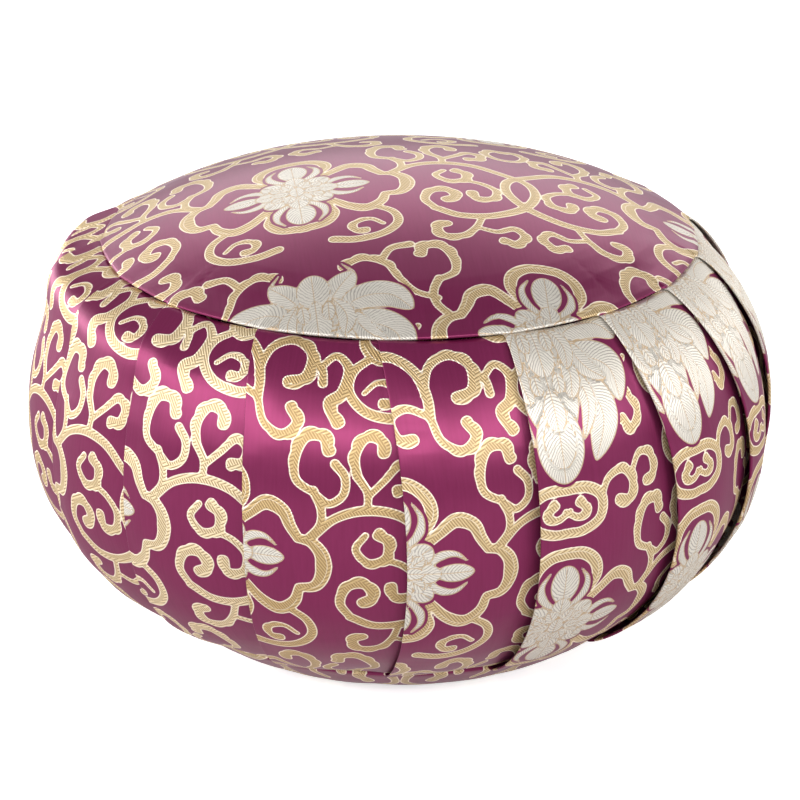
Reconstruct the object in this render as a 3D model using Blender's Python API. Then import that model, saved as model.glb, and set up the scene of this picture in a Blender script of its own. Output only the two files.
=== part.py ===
"""Round meditation cushion with a pleated side band, at real size in metres, +Z up.

The front of the cushion faces -Y, and the origin is the middle of the flat patch that it rests on.
Three pieces are cut and sewn: the pleated band, which here is one solid with the filling that holds
it out, a domed round top panel, and a round bottom panel that the weight presses flat.
"""

import math

import bmesh
import bpy

# Driving dimensions
BELLY_RADIUS = 0.1618
BELLY_HEIGHT = 0.104
TOP_SEAM_RADIUS = 0.1305
TOP_SEAM_HEIGHT = 0.1805
BOTTOM_SEAM_RADIUS = 0.1125
BOTTOM_SEAM_HEIGHT = 0.0207
CROWN_RISE = 0.0315
REST_RADIUS = 0.068

# How full each curve of the outline is: 2 is an ellipse, and more is boxier
SHOULDER_FULLNESS = 2.08
UNDERSIDE_FULLNESS = 2.28
CROWN_FULLNESS = 1.93
BOTTOM_FULLNESS = 1.8

# The cloth at the seams
CLOTH_THICKNESS = 0.0020
FIT_GAP = 0.0003
SEAM_ROOM = 0.0005
SEAM_DEPTH = 0.0012
SEAM_WIDTH = 0.0035
SEAM_FLATTENING = 0.012
SEAM_LIFT_SHARE = 0.30

# Each fold's angle from the front, in degrees and towards +X, where it meets the top seam, the
# belly and the bottom seam, and how far its lip stands up, in millimetres.
FOLD_COLUMNS = ("top", "belly", "bottom", "lift")
SEEN_FOLDS = (
    (-65.5, -65.0, -66.5, 1.6),
    (-47.6, -44.2, -47.8, 1.8),
    (-26.3, -22.7, -26.0, 2.2),
    (-4.0, 1.0, -3.3, 2.6),
    (18.6, 20.2, 19.4, 3.4),
    (38.6, 44.6, 45.3, 3.4),
    (58.0, 66.4, 67.0, 3.0),
    (77.6, 85.6, 87.0, 2.8),
)

# The folds that the front doesn't show go on evenly, and each strays a little from its place.
HIDDEN_FOLDS = 9
HIDDEN_SWAY = 1.3
HIDDEN_SWAY_BEAT = 2.4
HIDDEN_LIFT = 2.5
HIDDEN_LIFT_CHANGE = 0.5
HIDDEN_LIFT_BEAT = 1.7

# The shoulder is fuller on one side, where the filling has settled: the side's angle from the
# front in degrees, how far it swells, and where up the band, as shares of the band's length.
FULL_SIDE = -95.0
FULL_SIDE_SWELL = 0.017
FULL_SIDE_PLACE = 0.917
FULL_SIDE_SPREAD = 0.073

# One pleat's section, from its own fold to the next: the share of the way across at the seam and
# at the belly, and the rise in lifts. The last two points lie under the next pleat's lip.
SECTION_COLUMNS = ("share_seam", "share_belly", "rise")
PLEAT_SECTION = (
    (0.006, 0.010, 0.90),
    (0.120, 0.110, 1.00),
    (0.380, 0.380, 0.85),
    (0.660, 0.680, 0.45),
    (0.880, 0.900, -0.10),
    (0.975, 0.985, -0.45),
    (0.988, 1.028, -0.70),
    (0.996, 1.000, 0.15),
)

OPENING_ROUNDNESS = 0.6
BAND_ROWS = 13
OUTLINE_SAMPLES = 240
SHARP_EDGE_ANGLE = 40.0
PANEL_RINGS = (0.97, 0.88, 0.70, 0.46, 0.22)
REST_RINGS = (0.96, 0.84)

BROCADE_PLUM = (0.33, 0.055, 0.19, 1.0)


def clear_scene():
    for obj in list(bpy.data.objects):
        bpy.data.objects.remove(obj)


def named(columns, rows):
    """A table's rows as dictionaries, by column name."""
    return [dict(zip(columns, row)) for row in rows]


def all_folds():
    """The folds that show from the front, and those that go on evenly round the back."""
    folds = named(FOLD_COLUMNS, SEEN_FOLDS)
    first, last = folds[0], folds[-1]
    steps = HIDDEN_FOLDS + 1
    for step in range(1, steps):
        along = step / steps
        sway = HIDDEN_SWAY * math.sin(HIDDEN_SWAY_BEAT * step)
        change = HIDDEN_LIFT_CHANGE * math.sin(HIDDEN_LIFT_BEAT * step)
        fold = {"lift": HIDDEN_LIFT + change}
        for place in ("top", "belly", "bottom"):
            start, end = last[place], first[place] + 360.0
            fold[place] = start + (end - start) * along + sway
        folds.append(fold)
    return folds


def superellipse_reach(height, radius, fullness):
    """The height at which a curve that starts at the belly would reach the axis, if it passes
    through that radius at that height above or below the belly."""
    share = 1.0 - (radius / BELLY_RADIUS) ** fullness
    return height / share ** (1.0 / fullness)


def outline_radius(height):
    """The band's radius at a height, with no pleats."""
    if height >= BELLY_HEIGHT:
        rise = TOP_SEAM_HEIGHT - BELLY_HEIGHT
        fullness = SHOULDER_FULLNESS
        reach = superellipse_reach(rise, TOP_SEAM_RADIUS, fullness)
    else:
        rise = BELLY_HEIGHT - BOTTOM_SEAM_HEIGHT
        fullness = UNDERSIDE_FULLNESS
        reach = superellipse_reach(rise, BOTTOM_SEAM_RADIUS, fullness)
    share = abs(height - BELLY_HEIGHT) / reach
    return BELLY_RADIUS * (1.0 - share**fullness) ** (1.0 / fullness)


def outline_points():
    """The band's outline from the bottom seam to the top seam, with the length run so far."""
    points = []
    run = 0.0
    for i in range(OUTLINE_SAMPLES + 1):
        along = i / OUTLINE_SAMPLES
        height = BOTTOM_SEAM_HEIGHT + (TOP_SEAM_HEIGHT - BOTTOM_SEAM_HEIGHT) * along
        radius = outline_radius(height)
        if points:
            run += math.hypot(radius - points[-1][0], height - points[-1][1])
        points.append((radius, height, run))
    return points


def outline_at(outline, along):
    """(radius, height, outward slope) at a share of the outline's length."""
    goal = along * outline[-1][2]
    i = next(k for k in range(1, len(outline)) if outline[k][2] >= goal - 1e-12)
    (r0, z0, s0), (r1, z1, s1) = outline[i - 1], outline[i]
    part = (goal - s0) / (s1 - s0)
    length = math.hypot(r1 - r0, z1 - z0)
    normal = ((z1 - z0) / length, -(r1 - r0) / length)
    return r0 + (r1 - r0) * part, z0 + (z1 - z0) * part, normal


def fold_angle(fold, along):
    """The fold's angle at a share of the way up: a parabola through its three known angles."""
    low, middle, high = fold["bottom"], fold["belly"], fold["top"]
    bend = 2.0 * (low + high) - 4.0 * middle
    slope = high - low
    return middle + slope * (along - 0.5) + bend * (along - 0.5) ** 2


def openness(along):
    """How far the pleats stand open: 0 where they are sewn down, 1 over most of the band."""
    return math.sin(math.pi * along) ** OPENING_ROUNDNESS if 0.0 < along < 1.0 else 0.0


def full_side_swell(along, angle):
    """How far the settled filling pushes the band out, at an angle in radians."""
    towards = max(0.0, math.cos(angle - math.radians(FULL_SIDE)))
    level = math.exp(-(((along - FULL_SIDE_PLACE) / FULL_SIDE_SPREAD) ** 2))
    return FULL_SIDE_SWELL * towards**2 * level


def band_row(outline, folds, along):
    """One turn round the band: a list of (angle in radians, radius, height)."""
    radius, height, (out, up) = outline_at(outline, along)
    open_share = openness(along)
    length = outline[-1][2]
    seam_distance = min(along, 1.0 - along) * length
    tuck = SEAM_DEPTH * math.exp(-seam_distance / SEAM_WIDTH)
    lift_share = SEAM_LIFT_SHARE + (1.0 - SEAM_LIFT_SHARE) * open_share
    row = []
    for k, fold in enumerate(folds):
        following = folds[(k + 1) % len(folds)]
        start = fold_angle(fold, along)
        end = fold_angle(following, along)
        if end < start:
            end += 360.0
        for point in named(SECTION_COLUMNS, PLEAT_SECTION):
            share_seam, share_belly = point["share_seam"], point["share_belly"]
            share = share_seam + (share_belly - share_seam) * open_share
            under_next = share_belly >= 1.0
            lift = (following if under_next else fold)["lift"] / 1000.0
            chord = SEAM_FLATTENING * 4.0 * share * (1.0 - share) * (1.0 - open_share)
            angle = math.radians(start + (end - start) * share)
            swell = full_side_swell(along, angle) * open_share
            rise = lift * lift_share * point["rise"] + swell - tuck - radius * chord
            row.append((angle, radius + out * rise, height + up * rise))
    return row


def crown_height(share):
    """The top panel's upper surface, by the share of the way from its middle to its seam."""
    dome = CROWN_RISE * (1.0 - share**CROWN_FULLNESS)
    roll = SEAM_DEPTH * math.exp(-(1.0 - share) * TOP_SEAM_RADIUS / SEAM_WIDTH)
    return TOP_SEAM_HEIGHT + dome - roll


def base_height(share):
    """The bottom panel's lower surface: flat in the middle, and swelling up to its seam."""
    flat_share = REST_RADIUS / BOTTOM_SEAM_RADIUS
    swell = max(0.0, (share - flat_share) / (1.0 - flat_share))
    roll = SEAM_DEPTH * math.exp(-(1.0 - share) * BOTTOM_SEAM_RADIUS / SEAM_WIDTH)
    return BOTTOM_SEAM_HEIGHT * swell**BOTTOM_FULLNESS + roll * (swell > 0.0)


def panel_ring(rim, share, height, inset=0.0):
    """A ring inside a seam: the seam's own outline, drawn in to a share of its radius."""
    return [(angle, (radius - inset) * share, height) for angle, radius, _ in rim]


def ring_points(ring):
    """A ring's corners: angle 0 faces -Y, and the angle grows towards +X."""
    return [(r * math.sin(a), -r * math.cos(a), z) for a, r, z in ring]


def skin(name, rings, material):
    """A closed solid that is lofted through rings, from one pole on the axis to the other."""
    mesh = bmesh.new()
    loops = [[mesh.verts.new(p) for p in ring_points(ring)] for ring in rings]
    first_pole = mesh.verts.new((0.0, 0.0, rings[0][0][2]))
    last_pole = mesh.verts.new((0.0, 0.0, rings[-1][0][2]))
    count = len(loops[0])
    for lower, upper in zip(loops, loops[1:]):
        for i in range(count):
            j = (i + 1) % count
            mesh.faces.new((lower[i], lower[j], upper[j], upper[i]))
    for i in range(count):
        j = (i + 1) % count
        mesh.faces.new((first_pole, loops[0][j], loops[0][i]))
        mesh.faces.new((last_pole, loops[-1][i], loops[-1][j]))
    data = bpy.data.meshes.new(name)
    mesh.to_mesh(data)
    mesh.free()
    data.shade_smooth()
    data.set_sharp_from_angle(angle=math.radians(SHARP_EDGE_ANGLE))
    data.materials.append(material)
    return bpy.data.objects.new(name, data)


def brocade():
    """Plum satin brocade."""
    material = bpy.data.materials.new("plum_brocade")
    material.use_nodes = True
    shader = material.node_tree.nodes["Principled BSDF"]
    shader.inputs["Base Color"].default_value = BROCADE_PLUM
    shader.inputs["Roughness"].default_value = 0.42
    shader.inputs["Metallic"].default_value = 0.0
    return material


def base_rings():
    """The bottom panel's ring shares, from the flat patch's middle out to just short of the seam."""
    flat_share = REST_RADIUS / BOTTOM_SEAM_RADIUS
    return (0.5 * flat_share, flat_share) + tuple(reversed(REST_RINGS))


def make_side_band(rows, material):
    """The pleated band and its filling: a recess above and below takes the two panels."""
    bottom_rim, top_rim = rows[0], rows[-1]
    sunk = CLOTH_THICKNESS + FIT_GAP
    floor = [(s, base_height(s) + sunk) for s in base_rings()]
    ceiling = [(s, crown_height(s) - sunk) for s in PANEL_RINGS]
    rings = [panel_ring(bottom_rim, s, z, FIT_GAP) for s, z in floor]
    rings.append(panel_ring(bottom_rim, 1.0, base_height(1.0) + sunk + SEAM_ROOM))
    rings.extend(rows)
    rings.append(panel_ring(top_rim, 1.0, crown_height(1.0) - sunk - SEAM_ROOM))
    rings.extend(panel_ring(top_rim, s, z, FIT_GAP) for s, z in ceiling)
    return skin("side_band", rings, material)


def make_top_panel(rim, material):
    """The round top panel, as a sheet that follows the crown of the filling."""
    inward = (1.0,) + PANEL_RINGS
    under = [(s, crown_height(s) - CLOTH_THICKNESS) for s in reversed(inward)]
    over = [(s, crown_height(s)) for s in inward]
    rings = [panel_ring(rim, s, z, FIT_GAP) for s, z in under + over]
    return skin("top_panel", rings, material)


def make_bottom_panel(rim, material):
    """The round bottom panel, a sheet with its flat patch on the floor."""
    outward = base_rings() + (1.0,)
    under = [(s, base_height(s)) for s in outward]
    over = [(s, base_height(s) + CLOTH_THICKNESS) for s in reversed(outward)]
    rings = [panel_ring(rim, s, z, FIT_GAP) for s, z in under + over]
    return skin("bottom_panel", rings, material)


def main():
    clear_scene()
    cushion = bpy.data.collections.new("meditation_cushion")
    bpy.context.scene.collection.children.link(cushion)
    outline = outline_points()
    folds = all_folds()
    rows = [band_row(outline, folds, i / BAND_ROWS) for i in range(BAND_ROWS + 1)]
    material = brocade()
    pieces = (
        make_side_band(rows, material),
        make_top_panel(rows[-1], material),
        make_bottom_panel(rows[0], material),
    )
    for piece in pieces:
        cushion.objects.link(piece)


main()
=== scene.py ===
# %% [markdown]
# A round meditation cushion in three sewn parts: a deep side band that is laid in knife pleats, a
# domed round top panel and a round bottom panel. All three are cut from one satin brocade, plum
# ground with gold scrolls and silver flowers. The solids come from model.glb; this script makes the
# cloth, its brocade figures and the light.

import math

import bpy
import numpy as np
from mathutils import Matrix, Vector
from mathutils.kdtree import KDTree


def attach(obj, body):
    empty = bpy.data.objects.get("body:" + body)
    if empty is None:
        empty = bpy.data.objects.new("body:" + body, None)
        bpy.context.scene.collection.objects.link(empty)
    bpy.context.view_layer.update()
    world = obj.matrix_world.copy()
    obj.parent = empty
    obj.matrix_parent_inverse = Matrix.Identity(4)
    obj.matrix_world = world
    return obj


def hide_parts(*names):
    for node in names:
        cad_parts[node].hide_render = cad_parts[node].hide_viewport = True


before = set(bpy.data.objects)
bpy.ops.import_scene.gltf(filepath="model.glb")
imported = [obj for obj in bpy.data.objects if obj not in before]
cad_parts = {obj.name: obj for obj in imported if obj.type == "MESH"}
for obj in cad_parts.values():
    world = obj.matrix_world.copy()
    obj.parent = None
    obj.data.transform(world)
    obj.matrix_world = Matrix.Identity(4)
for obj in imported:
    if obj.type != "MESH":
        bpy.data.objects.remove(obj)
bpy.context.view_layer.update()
print("solids:", sorted(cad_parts))

# %% [markdown]
# The picture is taken from about 22 degrees above the cushion with a long lens, so the outline
# shows hardly any perspective. The camera's distance follows from that, and the lens from how much
# of the picture the cushion fills.

# %% Camera
BELLY_RADIUS = 0.1618
CAMERA_ELEVATION = math.radians(21.62)
CAMERA_DISTANCE = 1.485
LENS = 149.6
SIGHT_HEIGHT = 0.102


def aim(obj, target):
    """Turn a camera or a lamp so that it looks at a point."""
    obj.rotation_euler = (Vector(target) - obj.location).to_track_quat("-Z", "Y").to_euler()


camera = bpy.data.objects.new("camera", bpy.data.cameras.new("camera"))
bpy.context.scene.collection.objects.link(camera)
camera.data.lens = LENS
camera.location = (
    0.0,
    -CAMERA_DISTANCE * math.cos(CAMERA_ELEVATION),
    SIGHT_HEIGHT + CAMERA_DISTANCE * math.sin(CAMERA_ELEVATION),
)
aim(camera, (0.0, 0.0, SIGHT_HEIGHT))
bpy.context.scene.camera = camera
print("camera at", [round(c, 3) for c in camera.location])

# %% [markdown]
# The studio is a white floor under a pale sky. A wide, low strip of light hangs in front and high:
# satin shows a bright band where it faces halfway between the lamp and the eye, and that is what
# makes the shoulder of the cushion glow while its crown and underside stay dark. The metal threads
# mirror a lamp on either side, and four more lamps, farther back, light the edges and the crown. The
# floor's extra glow is seen by the camera alone: it makes the picture's ground white, and throws no
# light up into the cushion's dark underside.

# %% Studio
FLOOR_SIZE = 12.0
FLOOR_GLOW = 0.60
FLOOR_COLOUR = (0.8, 0.8, 0.8, 1.0)
FLOOR_ROUGHNESS = 0.8
WHITE = (1.0, 1.0, 1.0, 1.0)
SKY_STRENGTH = 0.40
LAMP_TARGET = (0.0, 0.0, 0.1)
LAMPS = (
    # name, place, width, height, watts
    ("front_lamp", (-0.20, -1.75, 0.98), 2.2, 0.3, 20.0),
    ("left_lamp", (-1.60, -0.75, 0.80), 1.3, 0.6, 21.0),
    ("right_lamp", (1.40, -1.00, 0.80), 1.0, 0.6, 18.0),
    ("far_left_lamp", (-1.50, 0.90, 0.35), 1.2, 0.5, 20.0),
    ("far_right_lamp", (1.50, 0.90, 0.35), 1.0, 0.4, 4.0),
    ("back_lamp", (0.20, 2.00, 0.70), 2.4, 0.4, 6.0),
    ("crown_lamp", (0.10, 1.60, 1.25), 2.2, 0.8, 12.0),
)


def shader_of(material):
    """The Principled shader of a material."""
    return material.node_tree.nodes["Principled BSDF"]


def plain_material(name, colour, roughness):
    """A material with one colour."""
    material = bpy.data.materials.new(name)
    material.use_nodes = True
    shader_of(material).inputs["Base Color"].default_value = colour
    shader_of(material).inputs["Roughness"].default_value = roughness
    return material


bpy.ops.object.select_all(action="DESELECT")
bpy.ops.mesh.primitive_plane_add(size=FLOOR_SIZE)
floor = bpy.context.object
floor.name = "floor"
white_floor = plain_material("white_floor", FLOOR_COLOUR, FLOOR_ROUGHNESS)
shader_of(white_floor).inputs["Emission Color"].default_value = WHITE
floor_tree = white_floor.node_tree
light_path = floor_tree.nodes.new("ShaderNodeLightPath")
glow = floor_tree.nodes.new("ShaderNodeMath")
glow.operation = "MULTIPLY"
glow.inputs[1].default_value = FLOOR_GLOW
floor_tree.links.new(light_path.outputs["Is Camera Ray"], glow.inputs[0])
floor_tree.links.new(glow.outputs[0], shader_of(white_floor).inputs["Emission Strength"])
floor.data.materials.append(white_floor)

for name, place, width, height, watts in LAMPS:
    lamp = bpy.data.lights.new(name, "AREA")
    lamp.shape = "RECTANGLE"
    lamp.size = width
    lamp.size_y = height
    lamp.energy = watts
    lamp_object = bpy.data.objects.new(name, lamp)
    bpy.context.scene.collection.objects.link(lamp_object)
    lamp_object.location = place
    aim(lamp_object, LAMP_TARGET)

world = bpy.data.worlds.new("pale_sky")
bpy.context.scene.world = world
world.use_nodes = True
world.node_tree.nodes["Background"].inputs["Color"].default_value = WHITE
world.node_tree.nodes["Background"].inputs["Strength"].default_value = SKY_STRENGTH
bpy.context.scene.view_settings.view_transform = "Standard"
print("lamps:", len(LAMPS))

# %% [markdown]
# The band's outline is a curve turned about the middle of the cushion: full at the belly and drawn
# in at both seams. It is described once, as radius and height against the length of cloth from the
# bottom seam, because every row of the pleats and of the brocade is placed by that length.

# %% The outline of the band
BELLY_HEIGHT = 0.104
TOP_SEAM_RADIUS = 0.1305
TOP_SEAM_HEIGHT = 0.1805
BOTTOM_SEAM_RADIUS = 0.1125
BOTTOM_SEAM_HEIGHT = 0.0207
CROWN_RISE = 0.0297
REST_RADIUS = 0.068
SHOULDER_FULLNESS = 2.08
UNDERSIDE_FULLNESS = 2.28
CROWN_FULLNESS = 1.93
BOTTOM_FULLNESS = 1.8
OUTLINE_SAMPLES = 600


def outline_curve():
    """Radius, height, length run and outward normal at even heights up the band."""
    height = np.linspace(BOTTOM_SEAM_HEIGHT, TOP_SEAM_HEIGHT, OUTLINE_SAMPLES)
    above = height >= BELLY_HEIGHT
    fullness = np.where(above, SHOULDER_FULLNESS, UNDERSIDE_FULLNESS)
    rise = np.where(above, TOP_SEAM_HEIGHT - BELLY_HEIGHT, BELLY_HEIGHT - BOTTOM_SEAM_HEIGHT)
    drawn_in = np.where(above, TOP_SEAM_RADIUS, BOTTOM_SEAM_RADIUS) / BELLY_RADIUS
    reach = rise / (1.0 - drawn_in**fullness) ** (1.0 / fullness)
    share = np.abs(height - BELLY_HEIGHT) / reach
    radius = BELLY_RADIUS * (1.0 - share**fullness) ** (1.0 / fullness)
    run = np.concatenate([[0.0], np.cumsum(np.hypot(np.diff(radius), np.diff(height)))])
    slope_r, slope_z = np.gradient(radius, run), np.gradient(height, run)
    return radius, height, run, slope_z, -slope_r


OUT_RADIUS, OUT_HEIGHT, OUT_RUN, OUT_NORMAL_R, OUT_NORMAL_Z = outline_curve()
BAND_LENGTH = float(OUT_RUN[-1])


def outline_at(along):
    """(radius, height, normal outwards, normal upwards) at shares of the band's length."""
    goal = np.clip(along, 0.0, 1.0) * BAND_LENGTH
    curves = (OUT_RADIUS, OUT_HEIGHT, OUT_NORMAL_R, OUT_NORMAL_Z)
    return [np.interp(goal, OUT_RUN, curve) for curve in curves]


print(f"band, seam to seam: {BAND_LENGTH * 1000:.0f} mm of cloth")

# %% [markdown]
# Seventeen knife pleats lie over their neighbours on the left. Eight folds show from the front, and
# their angles are set row by row at the top seam, the belly and the bottom seam; the others go on
# evenly round the back. "lift" is how far a fold's lip stands up, and "gap" is how far the next
# cloth lies below it, which sets how dark the line beside the fold is.

# %% The folds
FOLD_COLUMNS = ("top", "belly", "bottom", "lift", "gap")
SEEN_FOLDS = (
    (-65.5, -65.0, -66.5, 1.9, 1.3),
    (-47.6, -44.2, -47.8, 2.2, 1.5),
    (-26.3, -22.7, -26.0, 2.5, 1.8),
    (-4.0, 1.0, -3.3, 2.7, 2.0),
    (18.6, 20.2, 19.4, 3.4, 2.4),
    (38.6, 44.6, 45.3, 3.4, 2.2),
    (58.0, 66.4, 67.0, 3.0, 1.8),
    (77.6, 85.6, 87.0, 2.8, 1.4),
)
HIDDEN_FOLDS = 9
HIDDEN_SWAY = 1.3
HIDDEN_SWAY_BEAT = 2.4
HIDDEN_LIFT = 2.5
HIDDEN_LIFT_CHANGE = 0.5
HIDDEN_LIFT_BEAT = 1.7
HIDDEN_GAP = 1.2
OPENING_ROUNDNESS = 0.6


def all_folds():
    """Every fold's row, starting with those that show from the front."""
    folds = [dict(zip(FOLD_COLUMNS, row)) for row in SEEN_FOLDS]
    first, last = folds[0], folds[-1]
    steps = HIDDEN_FOLDS + 1
    for step in range(1, steps):
        sway = HIDDEN_SWAY * math.sin(HIDDEN_SWAY_BEAT * step)
        lift = HIDDEN_LIFT + HIDDEN_LIFT_CHANGE * math.sin(HIDDEN_LIFT_BEAT * step)
        fold = {"lift": lift, "gap": HIDDEN_GAP}
        for place in ("top", "belly", "bottom"):
            turn = first[place] + 360.0 - last[place]
            fold[place] = last[place] + turn * step / steps + sway
        folds.append(fold)
    return folds


FOLDS = all_folds()


def fold_angle(fold, along):
    """A fold's angle in degrees at shares of the way up: a parabola through its three angles."""
    bend = 2.0 * (fold["bottom"] + fold["top"]) - 4.0 * fold["belly"]
    slope = fold["top"] - fold["bottom"]
    return fold["belly"] + slope * (along - 0.5) + bend * (along - 0.5) ** 2


def openness(along):
    """How far the pleats stand open: 0 where they are sewn down, 1 over most of the band."""
    return np.sin(np.pi * np.clip(along, 0.0, 1.0)) ** OPENING_ROUNDNESS


print("folds:", len(FOLDS))

# %% [markdown]
# One pleat's cloth is a strip. It starts under its own fold, turns over at the fold's lip, crosses
# the visible face and ends under the lip of the next pleat. Real pleats are made the same way, from
# flat cloth, so the strip keeps its flat measure as UV: how many metres across and along the cloth
# each point is. The brocade and the weave are then drawn on the flat cloth and can't stretch.

# %% How a pleat's strip lies
CLOTH_STEP = 0.0009
LEAST_COLUMNS = 8
LIP_OF_LIFT = 0.3
END_SINK_OF_LIFT = 0.25
END_SINK_OF_GAP = 0.5
RETURN_WIDTH = 0.007
RETURN_STEPS = 5
TURN_STEPS = 8
TAIL_WIDTH = 0.007
TAIL_STEPS = 4
TAIL_SINK = 0.0006
SEAM_DEPTH = 0.0012
SEAM_WIDTH = 0.0035
SEAM_FLATTENING = 0.012
SEAM_LIFT_SHARE = 0.30
SEAM_TUCK_DEPTH = 0.0012
SEAM_TUCK_WIDTH = 0.0011
SIDE_DROP = 1.5
SIDE_DROP_POWER = 2.6
FULL_SIDE = -95.0
FULL_SIDE_SWELL = 0.0150
FULL_SIDE_PLACE = 0.903
FULL_SIDE_SPREAD = 0.080


def seam_sink(distance):
    """How far cloth sinks towards a seam, at a distance from it: a soft roll, then the seam."""
    soft = SEAM_DEPTH * np.exp(-distance / SEAM_WIDTH)
    sharp = SEAM_TUCK_DEPTH * np.exp(-((distance / SEAM_TUCK_WIDTH) ** 2))
    return soft + sharp


def full_side_swell(along, angle):
    """How far the settled filling pushes the band out, at angles in radians."""
    towards = np.maximum(0.0, np.cos(angle - math.radians(FULL_SIDE)))
    level = np.exp(-(((along - FULL_SIDE_PLACE) / FULL_SIDE_SPREAD) ** 2))
    return FULL_SIDE_SWELL * towards**2 * level * openness(along)


def on_band(along, angle, rise):
    """Points at shares up the band and angles in radians, raised off the outline."""
    radius, height, out, up = outline_at(along)
    radius = radius + out * rise
    height = height + up * rise
    return np.stack([radius * np.sin(angle), -radius * np.cos(angle), height], axis=-1)


def arch(share):
    """0 at both ends and 1 in the middle."""
    return 4.0 * share * (1.0 - share)


def pleat_strip(fold, following, rows):
    """A pleat's points, rows up the band by columns across the cloth, and their flat measure."""
    along = np.linspace(0.0, 1.0, rows)[:, None]
    start, end = fold_angle(fold, along), fold_angle(following, along)
    end = np.where(end < start, end + 360.0, end)
    radius = outline_at(along)[0]
    width = np.radians(end - start) * radius
    opened = openness(along)
    lift_share = SEAM_LIFT_SHARE + (1.0 - SEAM_LIFT_SHARE) * opened
    lift = fold["lift"] / 1000.0 * lift_share
    next_lift = following["lift"] / 1000.0 * lift_share
    gap = fold["gap"] / 1000.0 * opened
    next_gap = following["gap"] / 1000.0 * opened
    lip = LIP_OF_LIFT * (lift - 0.5 * gap)

    columns = max(LEAST_COLUMNS, round(float(width.max()) / CLOTH_STEP))
    share = np.linspace(0.0, 1.0, columns + 1)[None, :]
    x_face = lip + share * (width - lip)
    fall = 1.0 - SIDE_DROP * share**SIDE_DROP_POWER
    end_rise = -END_SINK_OF_LIFT * next_lift - END_SINK_OF_GAP * next_gap
    blend = share**SIDE_DROP_POWER
    rise_face = lift * fall * (1.0 - blend) + end_rise * blend
    turn = np.linspace(0.0, np.pi, TURN_STEPS + 1)[None, :-1]
    x_turn = lip * (1.0 - np.sin(turn))
    rise_turn = lift - lip * (1.0 + np.cos(turn))
    back = np.linspace(1.0, 0.0, RETURN_STEPS + 1)[None, :-1]
    x_return = lip + back * RETURN_WIDTH
    rise_return = np.broadcast_to(lift - 2.0 * lip, x_return.shape)
    tail = np.linspace(0.0, 1.0, TAIL_STEPS + 1)[None, 1:]
    x_tail = width + tail * TAIL_WIDTH
    rise_tail = end_rise - TAIL_SINK * tail

    x = np.concatenate([x_return, x_turn, x_face, x_tail], axis=1)
    rise = np.concatenate([rise_return, rise_turn, rise_face, rise_tail], axis=1)
    share_all = np.clip(x / width, 0.0, 1.0)
    from_seam = np.minimum(along, 1.0 - along) * BAND_LENGTH
    chord = SEAM_FLATTENING * arch(share_all) * (1.0 - opened)
    angle = np.radians(start) + x / radius
    rise = rise - seam_sink(from_seam) - radius * chord + full_side_swell(along, angle)
    step = np.hypot(np.diff(x, axis=1), np.diff(rise, axis=1))
    across = np.concatenate([np.zeros((rows, 1)), np.cumsum(step, axis=1)], axis=1)
    first_face = RETURN_STEPS + TURN_STEPS
    across = across - across[:, first_face : first_face + 1]
    flat = np.stack([across, np.broadcast_to(along * BAND_LENGTH, across.shape)], axis=-1)
    return on_band(along, angle, rise), flat


STRIP_ROWS = round(BAND_LENGTH / CLOTH_STEP) + 1
print("rows of points up a strip:", STRIP_ROWS)
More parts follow.
